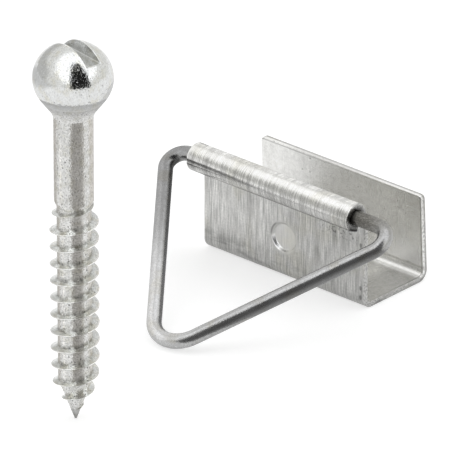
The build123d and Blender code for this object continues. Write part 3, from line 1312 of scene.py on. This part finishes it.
def make_cards():
    """Cards curved round the screw and the wire, and one laid over the clip."""
    for name, top, steps in STEM_CARDS:
        shader = screw_card(name, 0, top, STEM_CARD_RADIUS, steps)
        shader.inputs["Emission Color"].default_value = (*STEM_CARD_TINT, 1)
    neck_card()
    radius, top, steps = DARK_BOARD
    screw_card("dark_board", 0, top, radius, steps)
    radius, bottom, top, steps = BALL_SHIELD
    screw_card("ball_shield", bottom, top, radius, steps)
    left, far, right = (Vector(spot) for spot in bail_corners()[1:4])
    past_left = far.lerp(left, LEFT_CARD_REACH)
    curved_card("far_leg_card", far, right, WIRE_CARD_RADIUS, FAR_LEG_CARD)
    curved_card("left_leg_card", far, past_left, WIRE_CARD_RADIUS, LEFT_LEG_CARD)
    curved_card("left_leg_shade", far, past_left, WIRE_CARD_RADIUS, LEFT_LEG_SHADE)
    left, right, front, back, height, brightness = CLIP_CARD
    corners = [(left, front, height), (right, front, height), (right, back, height), (left, back, height)]
    make_card("clip_card", corners, [(3, 2, 1, 0)], [brightness] * 4)


def panel_group():
    """Upright panel of the tent, by its middle and half sizes in degrees."""
    sizes = {"Azimuth": 0.0, "Elevation": 0.0, "Middle azimuth": 0.0, "Half width": 10.0}
    sizes.update({"Middle elevation": 0.0, "Half height": 10.0, "Edge": 2.0})
    tree, given = shader_group("tent_panel", sizes, "Mask")
    masks = []
    for value, middle, half in (
        ("Azimuth", "Middle azimuth", "Half width"),
        ("Elevation", "Middle elevation", "Half height"),
    ):
        off = (given[value] - given[middle]).calc("WRAP", 180.0, -180.0).calc("ABSOLUTE")
        masks.append(((off - given[half]) / given["Edge"]).ramp(-0.5, 0.5, 1.0, 0.0))
    return ends_in(masks[0] * masks[1])


def tent_colour(tree):
    """What the metal sees: a pale tent with its overhead light, brighter panels and dark opening."""
    way = out_of(tree.nodes.new("ShaderNodeTexCoord"), "Generated")
    x, y, z = way.split()
    azimuth = x.calc("ARCTAN2", y * -1.0).calc("DEGREES")
    elevation = z.calc("ARCSINE").calc("DEGREES")
    azi, ele, reach, edge, light = OVERHEAD
    off = way.vector("DOT_PRODUCT", tuple(direction(azi, ele)), result="Value")
    off = off.calc("ARCCOSINE").calc("DEGREES")
    layers = [(off.ramp(reach - edge, reach + edge, 1.0, 0.0), light)]
    panel = panel_group()
    for azi, half_width, ele, half_height, edge, light in TENT_PANELS:
        mask = azimuth.through(
            panel, Elevation=elevation, Middle_azimuth=azi, Half_width=half_width,
            Middle_elevation=ele, Half_height=half_height, Edge=edge,
        )
        layers.append((mask, light))
    colour = (*TENT_COLOUR, 1)
    for mask, light in layers:
        colour = mixed(tree, mask, colour, (*light, 1))
    return colour


def make_world():
    """White for the camera, and the tent for everything else."""
    world = bpy.data.worlds.new("studio")
    bpy.context.scene.world = world
    world.use_nodes = True
    tree = world.node_tree
    tree.nodes.clear()
    tent = out_of(add(tree, "ShaderNodeBackground", tent_colour(tree), 1.0))
    white = out_of(add(tree, "ShaderNodeBackground", (1, 1, 1, 1), 1.0))
    camera = out_of(tree.nodes.new("ShaderNodeLightPath"), "Is Camera Ray")
    both = out_of(add(tree, "ShaderNodeMixShader", camera, tent, white))
    feed(tree.nodes.new("ShaderNodeOutputWorld").inputs[0], both)


def direction(azimuth, elevation):
    """Unit vector for an azimuth from -Y towards +X and an elevation, both in degrees."""
    azimuth, elevation = math.radians(azimuth), math.radians(elevation)
    return Vector((
        math.sin(azimuth) * math.cos(elevation),
        -math.cos(azimuth) * math.cos(elevation),
        math.sin(elevation),
    ))

def view_direction():
    """Direction from the part to the camera."""
    return direction(CAMERA_AZIMUTH, CAMERA_ELEVATION)


def make_camera():
    """Camera at the photograph's angle."""
    data = bpy.data.cameras.new("camera")
    data.sensor_width = 36
    data.lens = CAMERA_LENS
    data.clip_start = 0.1
    data.clip_end = 10
    camera = bpy.data.objects.new("camera", data)
    bpy.context.scene.collection.objects.link(camera)
    back = view_direction()
    camera.location = (Vector(CAMERA_TARGET) + back * CAMERA_DISTANCE) * MM
    camera.rotation_euler = (-back).to_track_quat("-Z", "Y").to_euler()
    bpy.context.scene.camera = camera


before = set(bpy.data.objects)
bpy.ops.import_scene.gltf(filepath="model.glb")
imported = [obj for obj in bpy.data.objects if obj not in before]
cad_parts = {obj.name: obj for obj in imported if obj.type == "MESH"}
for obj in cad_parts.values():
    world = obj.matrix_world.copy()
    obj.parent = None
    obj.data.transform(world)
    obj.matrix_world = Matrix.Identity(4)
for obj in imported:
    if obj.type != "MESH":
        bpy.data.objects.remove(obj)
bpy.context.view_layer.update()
scene = bpy.context.scene
scene.view_settings.view_transform = "Standard"

groups = SimpleNamespace(
    band=band_group(), streaks=streak_group(), mottle=mottle_group(), specks=speck_group(),
)
make_clip(clip_aluminium(groups))
make_bail(bail_steel(groups))
make_screw(
    zinc_plate(
        groups, "ball_zinc", lightness=0.985, tint=(0.99, 1.0, 0.995), rough=0.05, stained=0.11,
        speckled=0.4, speck_depth=0.25, grain_relief=0.005, pit_relief=0.026,
    ),
    zinc_plate(
        groups, "stem_zinc", lightness=0.985, tint=(1.0, 0.998, 0.98), rough=0.08, stained=0.20,
        speckled=0.6, speck_depth=0.5, grain_relief=0.012, pit_relief=0.026,
    ),
    zinc_plate(
        groups, "thread_zinc", lightness=0.98, tint=(0.985, 1.0, 0.98), rough=0.10, stained=0.14,
        speckled=0.2, speck_depth=0.3, grain_relief=0.005, pit_relief=0.006,
    ),
)

make_floor()
make_cards()
make_world()
make_camera()
